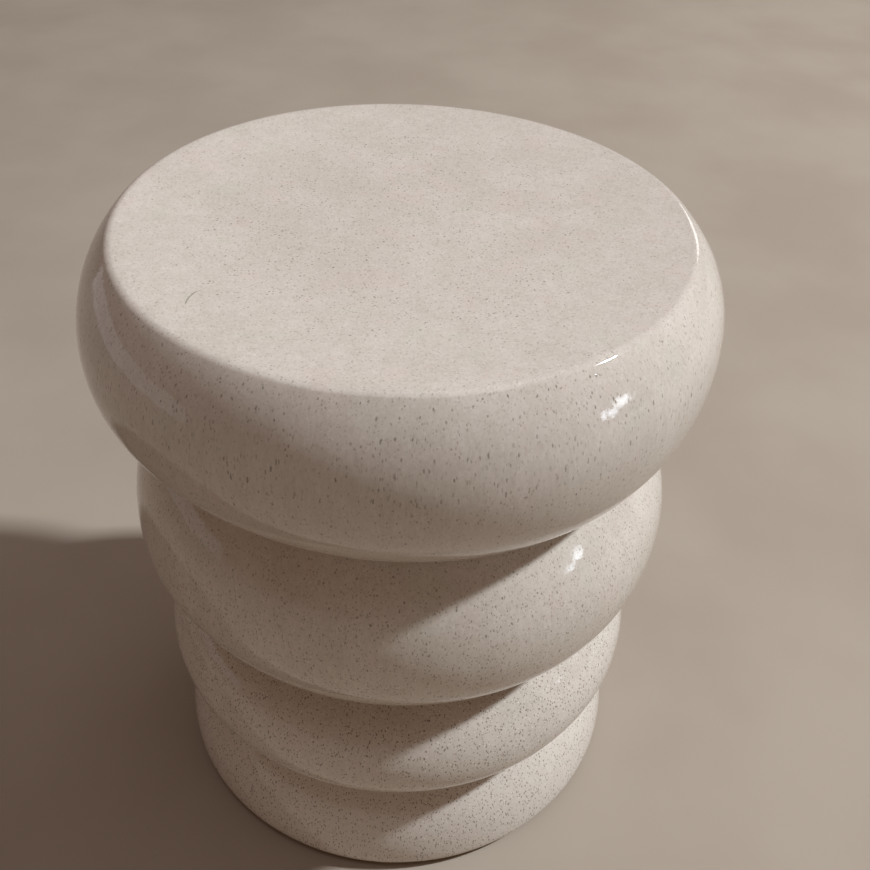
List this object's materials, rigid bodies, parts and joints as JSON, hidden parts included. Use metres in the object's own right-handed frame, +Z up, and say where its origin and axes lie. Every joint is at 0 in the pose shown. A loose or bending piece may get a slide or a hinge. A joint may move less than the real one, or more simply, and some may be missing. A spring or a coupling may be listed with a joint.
{
  "type": "ceramic garden stool",
  "caption": "Hollow stoneware stool of stacked rounded bulges with a wide dished seat, a rounded rim and a glossy speckled glaze, open underneath.",
  "frame": {"origin": "centre of the foot circle, on the floor", "axes": "+Z up along the axis of the stool, through the middle of the seat; X and Y are free, because the stool is round"},
  "size_m": [0.4036, 0.4034, 0.45],
  "materials": {
    "speckled_glaze": "glossy warm off-white glaze with fine brown-grey specks",
    "bare_stoneware": "matt unglazed buff stoneware",
    "luting_clay": "matt, finger-smoothed clay",
    "ground_foot": "matt unglazed stoneware, ground flat"
  },
  "bodies": {
    "root": {"seat_slab": "bare_stoneware", "top_bulge_wall": "bare_stoneware", "second_bulge_wall": "bare_stoneware", "third_bulge_wall": "bare_stoneware", "fourth_bulge_wall": "bare_stoneware", "foot_ring": "ground_foot", "seat_joint_coil": "luting_clay", "upper_crease_coil": "luting_clay", "middle_crease_coil": "luting_clay", "lower_crease_coil": "luting_clay", "foot_joint_coil": "luting_clay", "glaze_coat": "speckled_glaze"}
  },
  "joints": []
}
